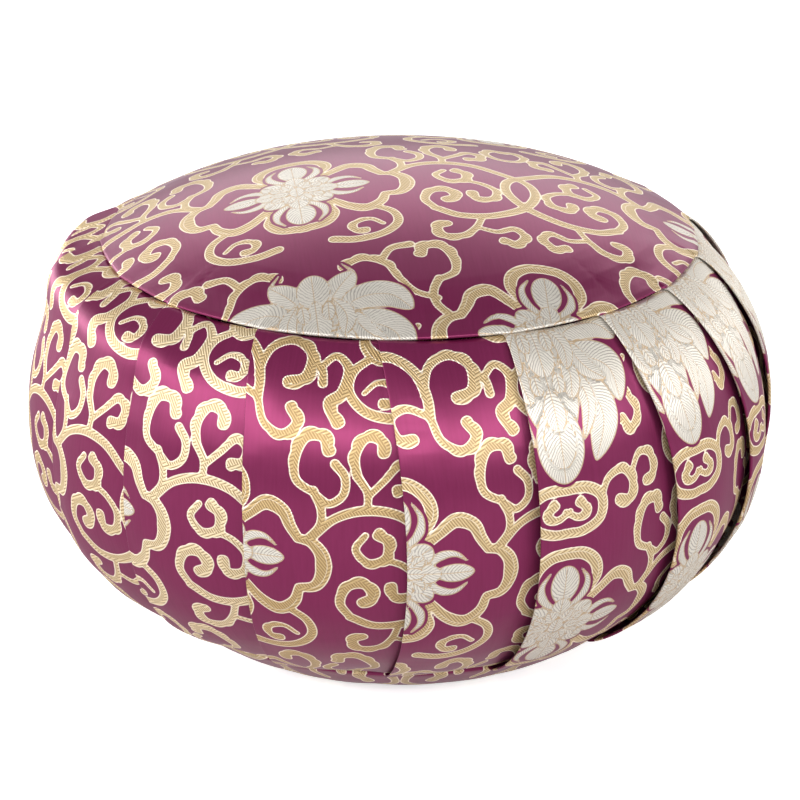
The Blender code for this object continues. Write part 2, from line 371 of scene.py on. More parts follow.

# %% [markdown]
# The brocade's repeat is charted on half a tile, in millimetres, and mirrored: traditional
# cloud scrolls and a lobed frame round a four-petalled flower. Each row of frames has one thing in
# the space beside them: a large lotus, a ring of two crossing stems, or a bank of clouds. A stroke is
# a band that runs smoothly through a few points, with its widths at start, middle and end. A
# "cloud" stroke has a scalloped back, as cloud heads in old silks do. A few landmarks set the
# spacing, and the strokes between them are drawn one by one, so the scrolls run their own way.

# %% The chart of the gold strokes
TILE_WIDTH = 190.0
ROW_HEIGHT = 108.0
ROW_KINDS = ("lotus", "ring", "ring", "bank")
TILE_HEIGHT = ROW_HEIGHT * len(ROW_KINDS)
STROKE_COLUMNS = ("kinds", "style", "widths", "points")
STROKES = (
    # The frame, lobe by lobe from the top
    ("all", "band", (5.4, 5.7, 4.7), ((-1, 38), (7, 37), (13, 32), (14.5, 25), (11, 18), (12, 13))),
    ("all", "band", (4.0, 6.6, 4.4), ((12, 13), (17, 17.5), (24, 22.5), (31, 20), (34, 14), (37, 9))),
    ("all", "band", (4.0, 7.0, 4.0),
     ((37, 9), (42.5, 7.5), (46.5, 2), (46.5, -6), (43, -12), (36.5, -13))),
    ("all", "band", (4.0, 6.6, 4.0), ((36.5, -13), (34, -20), (27.5, -24.5), (20, -21), (13.5, -13.5))),
    ("all", "band", (4.2, 5.3, 5.7), ((13.5, -13.5), (12, -19), (13.5, -26), (9, -33), (-1, -35))),
    # The hook on the frame's shoulder
    ("all", "band", (3.7, 3.7, 4.0), ((41, 9), (46, 15), (46.5, 22), (43.5, 29))),
    ("all", "cloud", (3.4, 4.4, 4.9), ((44, 28), (36.5, 33), (36, 42), (40, 50), (47, 50.5), (49, 45))),
    ("ring bank", "band", (3.5, 3.6, 4.2), ((45, 27), (50, 24), (55.5, 28), (56, 35), (52, 40))),
    # The loop under the frame
    ("all", "band", (3.7, 4.5, 4.9),
     ((30, -23), (38, -30), (39, -39), (32, -46.5), (21, -49), (11.5, -47))),
    ("all", "cloud", (2.4, 2.9, 3.6), ((33, -39), (28, -34.5), (21.5, -36.5), (21, -42), (25.5, -42.5))),
    # The long stem and the hook that stands on it
    ("ring bank", "band", (3.6, 4.5, 4.2), ((43, 10), (52, 18), (64, 21.5), (77, 19.5), (88, 12))),
    ("ring bank", "cloud", (3.2, 4.1, 4.7),
     ((65, 21), (65, 29), (61, 36), (60, 44), (64, 51), (70, 50), (71, 45))),
    ("ring bank", "cloud", (3.1, 3.6, 4.5),
     ((66, 28), (72, 34), (78, 40), (83, 37), (82, 31), (77, 30))),
    # The ring: the stem goes on past the next one, and curls back under itself
    ("ring", "band", (4.2, 4.9, 4.5),
     ((88, 12), (99, 3), (101, -10), (94, -24), (80, -33), (66, -34), (56, -28))),
    ("ring", "cloud", (3.9, 4.5, 4.9),
     ((56, -28), (52.5, -20), (56, -12), (63, -11), (66, -17), (61.5, -20))),
    ("ring", "cloud", (3.1, 3.9, 4.6), ((64, 11), (60, 5), (65, -1), (72, 1), (73, 8), (69, 11))),
    ("ring", "cloud", (3.1, 3.6, 4.5), ((72, 0), (79, -3), (84, -9), (82, -17), (75, -18), (74, -12.5))),
    ("ring", "cloud", (3.1, 3.9, 4.6),
     ((75, -35), (71, -44), (65, -50), (57, -50), (55, -43.5), (59.5, -41))),
    ("ring", "cloud", (2.9, 3.6, 4.4),
     ((73, -44), (80, -46), (87, -43), (91, -48), (87, -54), (82, -52))),
    # The bank of clouds
    ("bank", "cloud", (3.6, 3.9, 4.7), ((88, 12), (93, 4), (90, -5), (82, -7), (78, -1), (82, 4))),
    ("bank", "band", (4.5, 5.0, 4.2), ((97, -21), (87, -20), (79, -26), (76, -36), (76, -45))),
    ("bank", "cloud", (3.6, 3.9, 4.7), ((76, -45), (73, -54), (65, -58), (59, -53), (62, -47))),
    ("bank", "cloud", (3.2, 4.2, 4.9),
     ((77, -36), (73, -24), (64, -19), (56, -24), (57, -34), (64, -37))),
    ("bank", "band", (3.5, 3.6, 4.2), ((56, -26), (51, -30), (50, -36))),
    ("bank", "cloud", (3.1, 4.2, 4.6),
     ((52, -30), (46, -24), (40.5, -29), (42, -39), (47, -44), (43, -52))),
    ("bank", "cloud", (3.4, 3.9, 4.5), ((77, -44), (85, -41), (92, -45), (90, -53), (84, -53))),
    ("bank", "cloud", (3.1, 3.7, 4.5), ((64, 10), (58, 4), (60, -5), (67, -7), (70, -1))),
    # Beside, above and below the lotus
    ("lotus", "cloud", (3.1, 3.4, 4.5),
     ((45, 18), (54, 22), (60, 31), (64, 40), (73, 45), (81, 41), (78, 36))),
    ("lotus", "band", (3.6, 3.7, 4.5), ((66, 42), (61, 50), (53, 52))),
    ("lotus", "cloud", (2.9, 3.6, 4.2), ((55, 4), (60, -3), (57, -12), (54, -19), (59, -25), (63, -20))),
    ("lotus", "band", (4.9, 5.0, 4.2),
     ((97, -43), (86, -43.5), (79, -48.5), (80, -57), (88, -61), (97, -61))),
    ("lotus", "cloud", (2.8, 3.4, 3.6), ((96, -52), (90, -55), (86.5, -52), (90, -49))),
    ("lotus", "cloud", (3.2, 4.1, 4.7),
     ((79, -49), (75, -42), (67, -40), (62, -46), (64, -53), (70, -52))),
    ("lotus", "cloud", (2.9, 3.6, 4.4), ((63, -44), (57, -36), (50, -38), (49, -46), (54, -48))),
    # Over the middle of the long stems
    ("ring bank", "cloud", (2.9, 3.6, 4.2), ((96, 33), (90, 35), (86.5, 43), (90, 50), (96, 49))),
)

# %% [markdown]
# The silver figures are made of petals and sepals. A petal is a leaf shape along a bent spine, from
# its base to its tip: "fullness" sets how near the tip it is widest. A sepal is a thin crescent that
# cups a bud. Later rows lie over earlier ones. The flower sits in every frame, and the lotus hangs
# in its own row.

# %% The chart of the silver petals
PETAL_COLUMNS = ("half_width", "fullness", "spine")
FLOWER_PETALS = (
    (4.1, 1.05, ((14.5, 0), (31, 0))),
    (6.4, 1.45, ((0, 12), (0, 31))),
    (6.4, 1.45, ((0, -11), (0, -29.5))),
    (4.8, 1.75, ((3, 4), (12.5, 10.5))),
    (4.8, 1.75, ((3, -4), (12.5, -10.5))),
    (4.4, 1.60, ((3, 0), (16.5, 0))),
    (4.6, 1.60, ((0, 2), (0, 15.5))),
    (4.6, 1.60, ((0, -2), (0, -15.5))),
    (3.2, 1.30, ((2, 1), (10.5, 6.5))),
    (3.2, 1.30, ((2, -1), (10.5, -6.5))),
    (2.8, 1.20, ((1, 1), (5, 10))),
    (2.8, 1.20, ((1, -1), (5, -10))),
    (2.8, 1.20, ((1, 0), (11, 0))),
    (3.4, 1.00, ((0, -5), (0, 5))),
)
FLOWER_SEPALS = (
    ((2.6, 4.0, 1.0), ((12, 3), (16, 7), (20, 8.5), (24, 8), (28, 5))),
    ((2.6, 4.0, 1.0), ((12, -3), (16, -7), (20, -8.5), (24, -8), (28, -5))),
    ((2.6, 4.0, 1.0), ((4, 12), (8, 16), (10, 20), (10, 25), (7, 30))),
    ((2.6, 4.0, 1.0), ((4, -12), (8, -16), (10, -20), (10, -25), (7, -30))),
)
LOTUS_PETALS = (
    (13.5, 0.95, ((0, 32), (0, -28))),
    (6.2, 1.20, ((2, 16), (10, 28), (17, 37))),
    (7.0, 1.40, ((0, 16), (0, 37))),
    (7.4, 1.10, ((8, 16), (20, 22), (31, 21), (39, 13))),
    (8.4, 1.00, ((8, 9), (20, 8), (31, 1), (33, -13))),
    (8.0, 0.95, ((8, 2), (18, -6), (22, -18), (15, -34))),
    (10.4, 1.15, ((0, -9), (0, -39))),
    (7.0, 1.15, ((0, -12), (0, -34))),
    (4.0, 1.05, ((5, 8), (13, 0), (16, -11), (11, -25))),
    (4.6, 1.10, ((6, 20), (14, 12), (20, 3), (28, -3))),
    (4.8, 1.30, ((0, -2), (0, -20))),
    (4.2, 1.30, ((7, 10), (11, 3), (9, -8))),
    (2.9, 1.25, ((5, 4), (4.6, -5))),
    (4.0, 1.15, ((7, 24), (12, 14), (10.5, 4))),
    (6.4, 1.35, ((0, 24), (0, 3))),
    (2.9, 1.25, ((5.4, 23), (5.0, 13))),
)
LOTUS_SEPALS = (
    ((3.0, 3.6, 0.8), ((5, 24), (13, 29), (17, 36), (13, 43))),
)
MIRRORS = (1.0, -1.0)

# %% [markdown]
# The chart is turned into distance fields on a fine grid over one tile: how far each point lies
# inside the nearest gold stroke or silver petal. A distance changes evenly across an edge, so a
# mesh that carries it at its points still gives a sharp line when the shader cuts it at zero.

# %% From chart to distance fields
FIELD_STEP = 0.5
FIELD_COLUMNS = round(TILE_WIDTH / FIELD_STEP)
FIELD_ROWS = round(TILE_HEIGHT / FIELD_STEP)
FAR_OUTSIDE = -9.0
STROKE_SPACING = 0.6
CURVE_SAMPLES = 24
FIELD_MARGIN = 3.5
SCALLOP_LENGTH = 6.5
SCALLOP_HEIGHT = 1.3
SCALLOP_FADE = 3.0
SCALLOP_START = 0.8
LEAF_REACH = 0.6
LEAF_OVERLAP = 0.35
PETAL_BLUNTNESS = 0.75
SEPAL_PLACES = (0.0, 0.4, 1.0)
VEIN_SLANT = 0.8
NO_RIB = 9.0


def smooth_run(points, spacing):
    """Points at even spacing along a Catmull-Rom curve, with their distance from its start."""
    p = np.array(points, float)
    p = np.vstack([2.0 * p[0] - p[1], p, 2.0 * p[-1] - p[-2]])
    run = []
    for a, b, c, d in zip(p, p[1:], p[2:], p[3:]):
        t = np.linspace(0.0, 1.0, CURVE_SAMPLES, endpoint=False)[:, None]
        cubic = 2.0 * a - 5.0 * b + 4.0 * c - d
        run.append(0.5 * (2.0 * b + (c - a) * t + cubic * t**2 + (3.0 * b - a - 3.0 * c + d) * t**3))
    run = np.vstack(run + [p[-2][None, :]])
    length = np.concatenate([[0.0], np.cumsum(np.hypot(*np.diff(run, axis=0).T))])
    even = np.linspace(0.0, length[-1], max(3, round(length[-1] / spacing)))
    return np.stack([np.interp(even, length, run[:, i]) for i in (0, 1)], axis=-1), even


def window(centre, reach):
    """The field's cells round a place, wrapped at the tile's edges, with their coordinates."""
    low = [math.floor((c - reach) / FIELD_STEP) for c in centre]
    high = [math.ceil((c + reach) / FIELD_STEP) for c in centre]
    columns, rows = np.arange(low[0], high[0]), np.arange(low[1], high[1])
    u, v = np.meshgrid(columns * FIELD_STEP, rows * FIELD_STEP)
    return np.ix_(rows % FIELD_ROWS, columns % FIELD_COLUMNS), u, v


def stroke_frame(points):
    """A stroke's even points, distances run, and unit normals on the outer side of its bend."""
    line, run = smooth_run(points, STROKE_SPACING)
    direction = np.gradient(line, axis=0)
    direction /= np.linalg.norm(direction, axis=1)[:, None]
    turning = np.sum(direction[:-1, 0] * direction[1:, 1] - direction[:-1, 1] * direction[1:, 0])
    outer = np.stack([direction[:, 1], -direction[:, 0]], axis=-1) * (1.0 if turning > 0.0 else -1.0)
    return line, run, outer


def draw_stroke(gold, side, points, widths, style):
    """Add a band to the gold field, and to the field of how far out from its middle a point is."""
    line, run, outer = stroke_frame(points)
    width = np.interp(run / run[-1], (0.0, 0.5, 1.0), widths)
    fade = np.clip(SCALLOP_FADE * run / run[-1] - SCALLOP_START, 0.0, 1.0)
    bulge = np.abs(np.sin(np.pi * run / SCALLOP_LENGTH)) * fade
    backs = (0.0, SCALLOP_HEIGHT) if style == "cloud" else (0.0,)
    for back in backs:
        centres = line + outer * (back * bulge)[:, None]
        for (u0, v0), (out_u, out_v), w in zip(centres, outer, width):
            cells, u, v = window((u0, v0), 0.5 * w + FIELD_MARGIN)
            inside = 0.5 * w - np.hypot(u - u0, v - v0)
            better = inside > gold[cells]
            gold[cells] = np.where(better, inside, gold[cells])
            side[cells] = np.where(better, (u - u0) * out_u + (v - v0) * out_v, side[cells])


def lay_leaf(fields, points, half_width_at, has_rib):
    """Lay a leaf over what is there: its inside distance and its own vein coordinates."""
    silver, edge, vein, rib = fields
    line, run, outer = stroke_frame(points)
    half = half_width_at(run / run[-1])
    cells, u, v = window(line.mean(axis=0), LEAF_REACH * run[-1] + FIELD_MARGIN)
    inside_each = half - np.hypot(u[..., None] - line[:, 0], v[..., None] - line[:, 1])
    nearest = inside_each.argmax(axis=-1)
    inside = inside_each.max(axis=-1)
    out = outer[nearest]
    across = (u - line[nearest, 0]) * out[..., 0] + (v - line[nearest, 1]) * out[..., 1]
    slant = -VEIN_SLANT * np.abs(across) if has_rib else across
    off_rib = across if has_rib else across + NO_RIB
    silver[cells] = np.maximum(silver[cells], inside)
    over = inside > -LEAF_OVERLAP
    for field, value in ((edge, inside), (vein, run[nearest] + slant), (rib, off_rib)):
        field[cells] = np.where(over, value, field[cells])


def draw_sepal(fields, points, widths):
    """A crescent, widest near its middle."""
    lay_leaf(fields, points, lambda share: 0.5 * np.interp(share, SEPAL_PLACES, widths), False)


def draw_petal(fields, points, half_width, fullness):
    """A petal: its outline is an arch of a sine, drawn towards the tip by its fullness."""
    lay_leaf(
        fields,
        points,
        lambda share: half_width * np.sin(np.pi * share**fullness) ** PETAL_BLUNTNESS,
        True,
    )


def mirrored(points, mirror, shift):
    """A row's points on the left or right half, moved to a frame's place on the tile."""
    return [(mirror * u + shift[0], v + shift[1]) for u, v in points]


def draw_silver(fields, petals, sepals, place):
    """Draw a flower: its sepals, then its petals, both halves."""
    for widths, points in sepals:
        for mirror in MIRRORS:
            draw_sepal(fields, mirrored(points, mirror, place), widths)
    for row in petals:
        petal = dict(zip(PETAL_COLUMNS, row))
        on_axis = all(u == 0 for u, _ in petal["spine"])
        for mirror in MIRRORS[:1] if on_axis else MIRRORS:
            spine = mirrored(petal["spine"], mirror, place)
            draw_petal(fields, spine, petal["half_width"], petal["fullness"])


def brocade_fields():
    """The fields of one tile: gold, side, silver, edge, vein, rib."""
    shape = (FIELD_ROWS, FIELD_COLUMNS)
    gold, silver = np.full(shape, FAR_OUTSIDE), np.full(shape, FAR_OUTSIDE)
    side, edge, vein, rib = (np.zeros(shape) for _ in range(4))
    for row_number, kind in enumerate(ROW_KINDS):
        place = (0.5 * TILE_WIDTH * (row_number % 2), ROW_HEIGHT * row_number)
        for row in STROKES:
            stroke = dict(zip(STROKE_COLUMNS, row))
            if stroke["kinds"] != "all" and kind not in stroke["kinds"].split():
                continue
            for mirror in MIRRORS:
                points = mirrored(stroke["points"], mirror, place)
                draw_stroke(gold, side, points, stroke["widths"], stroke["style"])
        draw_silver((silver, edge, vein, rib), FLOWER_PETALS, FLOWER_SEPALS, place)
        if kind == "lotus":
            beside = (place[0] + 0.5 * TILE_WIDTH, place[1])
            draw_silver((silver, edge, vein, rib), LOTUS_PETALS, LOTUS_SEPALS, beside)
    return gold, side, silver, edge, vein, rib


FIELDS = np.stack(brocade_fields(), axis=-1)
GOLD_SHARE, SILVER_SHARE = np.mean(FIELDS[..., 0] > 0.0), np.mean(FIELDS[..., 2] > 0.0)
print(f"gold covers {GOLD_SHARE:.0%} and silver {SILVER_SHARE:.0%} of the tile")

# %% [markdown]
# One piece of cloth is a grid primitive with a point about every millimetre. Each point is moved to
# where its thread lies on the cushion, and keeps its flat place as UV and the brocade's distances as
# attributes. A grid is the right start for woven cloth: its lines are the warp and the weft.

# %% Making a piece of cloth
# The attribute that carries each piece's painted light on its gold: painted shade at 0, painted
# highlight at 1.
CLOTH_UV = "cloth"
GOLD_PAINTED_LIGHT = "gold_painted_light"


def brocade_at(flat):
    """The brocade's fields at flat places in metres, read smoothly from the tile."""
    column = flat[..., 0] * 1000.0 / FIELD_STEP
    row = flat[..., 1] * 1000.0 / FIELD_STEP
    c0, r0 = np.floor(column).astype(int), np.floor(row).astype(int)
    fc, fr = (column - c0)[..., None], (row - r0)[..., None]
    c0, r0 = c0 % FIELD_COLUMNS, r0 % FIELD_ROWS
    c1, r1 = (c0 + 1) % FIELD_COLUMNS, (r0 + 1) % FIELD_ROWS
    low = FIELDS[r0, c0] * (1.0 - fc) + FIELDS[r0, c1] * fc
    high = FIELDS[r1, c0] * (1.0 - fc) + FIELDS[r1, c1] * fc
    return low * (1.0 - fr) + high * fr


def cloth_piece(name, points, flat, painted_light):
    """A grid whose points lie as given, with its flat measure, its brocade and its gold's painted light.
    """
    rows, columns = points.shape[:2]
    bpy.ops.object.select_all(action="DESELECT")
    bpy.ops.mesh.primitive_grid_add(x_subdivisions=columns - 1, y_subdivisions=rows - 1, size=1.0)
    piece = bpy.context.object
    piece.name = name
    mesh = piece.data
    mesh.name = name
    mesh.vertices.foreach_set("co", points.astype(np.float32).ravel())
    corner_points = np.empty(len(mesh.loops), np.int32)
    mesh.loops.foreach_get("vertex_index", corner_points)
    mesh.uv_layers[0].name = CLOTH_UV
    uv = flat.reshape(-1, 2)[corner_points]
    mesh.uv_layers[CLOTH_UV].data.foreach_set("uv", uv.astype(np.float32).ravel())
    gold, side, silver, edge, vein, rib = np.moveaxis(brocade_at(flat), -1, 0)
    for label, values in (("figure_gold", (gold, side, rib)), ("figure_silver", (silver, edge, vein))):
        attribute = mesh.attributes.new(label, "FLOAT_VECTOR", "POINT")
        stacked = np.stack(values, axis=-1).astype(np.float32)
        attribute.data.foreach_set("vector", stacked.ravel())
    # Each piece carries one value of painted light for its gold.
    attribute = mesh.attributes.new(GOLD_PAINTED_LIGHT, "FLOAT", "POINT")
    attribute.data.foreach_set("value", np.full(rows * columns, painted_light, np.float32))
    mesh.shade_smooth()
    mesh.update()
    return piece


# %% [markdown]
# Filling pushes cloth out wherever no thread holds it back. The quickest way to get that is to let
# Blender's cloth do it: the solids are copied and joined, remeshed to an even 5 mm net,
# pinned along the seams, the folds and the flat base, and blown up a little with gravity off. The
# cloth is light, and cut a little slack, or it would hardly move in so few frames. How far each
# point moved is kept, and the fine pieces of cloth are moved by the same amounts.

# %% Letting the filling push the cover out
VOXEL = 0.005
PRESSURE = 4.0
FABRIC_MASS = 0.002
FABRIC_STIFFNESS = 5.0
FABRIC_SLACK = 0.008
LAST_FRAME = 20
MOST_SWELL = 0.0022
SEAM_HOLD = 0.007
FOLD_HOLD = 0.004
FOLD_GRIP = 0.55
BASE_HOLD = 0.004
LEAST_HOLD = 0.01
TINY = 1e-9
LEAST_WEIGHT = 1e-6
NEIGHBOURS = 16
BLUR = 0.006


def joined_solids():
    """One object from copies of the three solids."""
    bpy.ops.object.select_all(action="DESELECT")
    copies = []
    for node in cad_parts.values():
        copy = node.copy()
        copy.data = node.data.copy()
        copy.parent = None
        bpy.context.scene.collection.objects.link(copy)
        copies.append(copy)
        copy.select_set(True)
    bpy.context.view_layer.objects.active = copies[0]
    bpy.ops.object.join()
    return bpy.context.object


def hold(points):
    """How firmly sewing holds each point, from 0 to 1."""
    radius = np.hypot(points[:, 0], points[:, 1])
    height = points[:, 2]
    angle = np.degrees(np.arctan2(points[:, 0], -points[:, 1]))
    along = np.interp(height, OUT_HEIGHT, OUT_RUN) / BAND_LENGTH
    top = np.hypot(radius - TOP_SEAM_RADIUS, height - TOP_SEAM_HEIGHT)
    bottom = np.hypot(radius - BOTTOM_SEAM_RADIUS, height - BOTTOM_SEAM_HEIGHT)
    firm = np.maximum(np.exp(-((top / SEAM_HOLD) ** 2)), np.exp(-((bottom / SEAM_HOLD) ** 2)))
    on_side = (height > BOTTOM_SEAM_HEIGHT) & (height < TOP_SEAM_HEIGHT)
    for fold in FOLDS:
        off = (angle - fold_angle(fold, along) + 180.0) % 360.0 - 180.0
        away = np.radians(np.abs(off)) * radius
        grip = FOLD_GRIP * np.exp(-((away / FOLD_HOLD) ** 2)) * on_side
        firm = np.maximum(firm, grip)
    return np.where(height < BASE_HOLD, 1.0, firm)


def mesh_points(obj):
    """The points of an object's evaluated mesh."""
    mesh = obj.evaluated_get(bpy.context.evaluated_depsgraph_get()).data
    points = np.empty(len(mesh.vertices) * 3, np.float32)
    mesh.vertices.foreach_get("co", points)
    return points.reshape(-1, 3).astype(float)


def simulated_swelling():
    """Points on the even net, and how far the filling moves each of them."""
    cover = joined_solids()
    cover.name = "cover_for_swelling"
    cover.data.remesh_voxel_size = VOXEL
    bpy.ops.object.voxel_remesh()
    points = mesh_points(cover)
    sewn = cover.vertex_groups.new(name="sewn")
    for i, weight in enumerate(hold(points)):
        if weight > LEAST_HOLD:
            sewn.add([i], float(weight), "REPLACE")
    cloth = cover.modifiers.new("cloth", "CLOTH")
    cloth.settings.vertex_group_mass = "sewn"
    cloth.settings.use_pressure = True
    cloth.settings.uniform_pressure_force = PRESSURE
    cloth.settings.effector_weights.gravity = 0.0
    cloth.settings.mass = FABRIC_MASS
    cloth.settings.tension_stiffness = FABRIC_STIFFNESS
    cloth.settings.compression_stiffness = FABRIC_STIFFNESS
    cloth.settings.shrink_min = -FABRIC_SLACK
    cloth.point_cache.frame_start = 1
    cloth.point_cache.frame_end = LAST_FRAME
    for number in range(1, LAST_FRAME + 1):
        bpy.context.scene.frame_set(number)
    moved = mesh_points(cover) - points
    bpy.context.scene.frame_set(1)
    bpy.data.objects.remove(cover)
    length = np.linalg.norm(moved, axis=1, keepdims=True)
    return points, moved * np.minimum(1.0, MOST_SWELL / np.maximum(length, TINY))


def swelling_reader(points, moved):
    """A function that reads the swelling at any points, between the nearest ones of the net."""
    tree = KDTree(len(points))
    for i, point in enumerate(points):
        tree.insert(point, i)
    tree.balance()

    def read(places):
        out = np.zeros((len(places), 3))
        for i, place in enumerate(places):
            near = tree.find_n(place, NEIGHBOURS)
            weight = np.array([math.exp(-((n[2] / BLUR) ** 2)) + LEAST_WEIGHT for n in near])
            out[i] = weight @ moved[[n[1] for n in near]] / weight.sum()
        return out

    return read


net, moved = simulated_swelling()
read_swelling = swelling_reader(net, moved)
print(f"net of {len(net)} points, moved {np.linalg.norm(moved, axis=1).mean() * 1000:.1f} mm on average")

# %% [markdown]
# The swelling changes slowly, so it is read on every fifth row and column of a piece and spread
# evenly between them.

# %% Swelling a grid of points
SWELL_STRIDE = 5


def swollen(points):
    """A grid of points with the filling's push added."""
    if read_swelling is None:
        return points
    rows, columns = points.shape[:2]
    r = np.unique(np.append(np.arange(0, rows, SWELL_STRIDE), rows - 1))
    c = np.unique(np.append(np.arange(0, columns, SWELL_STRIDE), columns - 1))
    coarse = read_swelling(points[np.ix_(r, c)].reshape(-1, 3)).reshape(len(r), len(c), 3)
    across = np.stack(
        [[np.interp(np.arange(columns), c, line[:, k]) for line in coarse] for k in range(3)], axis=-1
    )
    every = [
        [np.interp(np.arange(rows), r, across[:, j, k]) for j in range(columns)] for k in range(3)
    ]
    return points + np.moveaxis(np.array(every), (0, 1, 2), (2, 1, 0))


# %% [markdown]
# The band is pieced of two strips, and the repeat starts anew at each pleat: every fold hides the
# cloth between one repeat and the next. "u" and "v" are the tile's place, in millimetres, at the
# fold's lip and at the bottom seam. In the first strip the folds cut through the flower of a
# frame; in the second, the lotus hangs from the top seam. Each pleat also has painted light on its
# gold: metal thread looks pale or brown by how it catches the light, and the value paints that
# into the gold's colour, from painted shade at 0 to painted highlight at 1. The places and values
# round the back are made up.

# %% The pleats
PLEAT_PLACES = (
    # u, v, painted light on the gold (0 shade, 1 highlight); the first strip, from the left of the front
    (34.0, 114.0, 0.70),
    (24.6, 116.5, 0.95),
    (14.0, 121.5, 0.22),
    (4.5, 126.0, 0.45),
    # The second strip
    (84.0, 269.0, 0.65),
    (82.0, 268.0, 0.50),
    (82.0, 270.0, 0.40),
    (80.0, 269.0, 0.55),
    (84.0, 267.0, 0.70),
    (81.0, 269.0, 0.45),
    (79.0, 271.0, 0.60),
    # The first strip again, round the back
    (14.0, 124.0, 0.35),
    (20.0, 122.0, 0.55),
    (12.0, 120.0, 0.75),
    (17.0, 119.0, 0.45),
    (24.0, 117.0, 0.60),
    (30.0, 115.0, 0.50),
)
# The panels' gold gets a middling painted light, halfway between painted shade and painted highlight.
PANEL_PAINTED_LIGHT = 0.50

pleats = []
for number, (fold, (*place, painted_light)) in enumerate(zip(FOLDS, PLEAT_PLACES)):
    following = FOLDS[(number + 1) % len(FOLDS)]
    points, flat = pleat_strip(fold, following, STRIP_ROWS)
    flat = flat + np.array(place) / 1000.0
    pleats.append(cloth_piece(f"pleat_{number + 1:02d}", swollen(points), flat, painted_light))
print("pleats:", len(pleats), "points each:", len(pleats[0].data.vertices))

# %% [markdown]
# The top panel is one round of cloth. A square grid is pressed into a circle ring by ring, so its
# squares stay nearly square and there is no pinched middle. Its rim follows the seam's corners,
# which the pleats' thick folds make. The last ring of squares is the hem: it turns down and inwards
# under the edge, so that the seam is crisp and closed. How the panels' brocade lies is set by where
# one frame is seen near the top panel's middle.

# %% The round panels
PANEL_STEP = 0.00088
BASE_STEP = 0.00115
PANEL_TURN = math.radians(6.3)
PANEL_FRAME_AT = (-0.0439, -0.0248)
PANEL_FRAME_ON_TILE = (95.0, 108.0)
RIM_SAMPLES = 2160
PANEL_TUCK_DEPTH = 0.0007
HEM_DEPTH = 0.0016
HEM_WIDTH = 0.0028
RIM_CORNER_FADE = 12.0


def seam_rim(along):
    """The seam's radius at even angles, from the pleats' own rows."""
    angle = np.linspace(0.0, 2.0 * np.pi, RIM_SAMPLES, endpoint=False)
    found = np.empty(RIM_SAMPLES)
    for fold, following in zip(FOLDS, FOLDS[1:] + FOLDS[:1]):
        start = math.radians(float(fold_angle(fold, along)))
        end = math.radians(float(fold_angle(following, along)))
        width = (end - start) % (2.0 * np.pi)
        share = ((angle - start) % (2.0 * np.pi)) / width
        here = share < 1.0
        lift = fold["lift"] / 1000.0 * SEAM_LIFT_SHARE
        rise = lift * (1.0 - SIDE_DROP * share**SIDE_DROP_POWER)
        radius, _, out, _ = (float(value) for value in outline_at(along))
        chord = radius * SEAM_FLATTENING * arch(share)
        found[here] = (radius + out * (rise - chord))[here]
    return angle, found


def round_rings(step, radius):
    """How many rings of squares a round piece has from its middle to its edge."""
    return round(radius / step)


def round_grid(step, radius):
    """Places on a unit disc for a square grid pressed into a circle, as share of the rim and angle."""
    side = 2 * round_rings(step, radius) + 1
    x, y = np.meshgrid(np.linspace(-1.0, 1.0, side), np.linspace(-1.0, 1.0, side))
    share = np.maximum(np.abs(x), np.abs(y))
    wide = np.abs(x) >= np.abs(y)
    safe = np.where(share == 0.0, 1.0, share)
    turn = np.where(wide, y / safe, x / safe) * np.pi / 4.0
    dx = np.where(wide, np.sign(x) * np.cos(turn), np.sin(turn))
    dy = np.where(wide, np.sin(turn), np.sign(y) * np.cos(turn))
    return share, np.arctan2(dx, -dy) % (2.0 * np.pi)


def crown_height(share):
    """The top panel's height at a share of the way from its middle to its seam."""
    return TOP_SEAM_HEIGHT + CROWN_RISE * (1.0 - share**CROWN_FULLNESS)


def base_height(share):
    """The bottom panel's height: flat in the middle, and swelling up to its seam."""
    flat_share = REST_RADIUS / BOTTOM_SEAM_RADIUS
    swell = np.maximum(0.0, (share - flat_share) / (1.0 - flat_share))
    return BOTTOM_SEAM_HEIGHT * swell**BOTTOM_FULLNESS


def panel_points(step, seam_radius, along, height_of, sink_sign):
    """A round panel's grid of points, with the sink towards its seam."""
    grid_share, angle = round_grid(step, seam_radius)
    last_ring = 1.0 / round_rings(step, seam_radius)
    hem = grid_share > 1.0 - 0.5 * last_ring
    share = np.minimum(grid_share / (1.0 - last_ring), 1.0)
    rim_angle, rim = seam_rim(along)
    rim_here = np.interp(angle, rim_angle, rim, period=2.0 * np.pi)
    radius = share * (rim.mean() + (rim_here - rim.mean()) * share**RIM_CORNER_FADE)
    from_seam = (1.0 - share) * rim_here
    sink = PANEL_TUCK_DEPTH * np.exp(-((from_seam / SEAM_TUCK_WIDTH) ** 2))
    height = height_of(share) - sink_sign * (sink + np.where(hem, HEM_DEPTH, 0.0))
    radius = radius - np.where(hem, HEM_WIDTH, 0.0)
    return np.stack([radius * np.sin(angle), -radius * np.cos(angle), height], axis=-1)


def flat_cut(points, turn, at, on_tile):
    """A panel's flat measure: its plan, turned and moved so that a frame lies where it is seen."""
    x, y = points[..., 0] - at[0], points[..., 1] - at[1]
    u = x * math.cos(turn) + y * math.sin(turn)
    v = y * math.cos(turn) - x * math.sin(turn)
    return np.stack([u + on_tile[0] / 1000.0, v + on_tile[1] / 1000.0], axis=-1)


top_points = panel_points(PANEL_STEP, TOP_SEAM_RADIUS, 1.0, crown_height, 1.0)
top_flat = flat_cut(top_points, PANEL_TURN, PANEL_FRAME_AT, PANEL_FRAME_ON_TILE)
top_panel = cloth_piece("top_round", swollen(top_points), top_flat, PANEL_PAINTED_LIGHT)

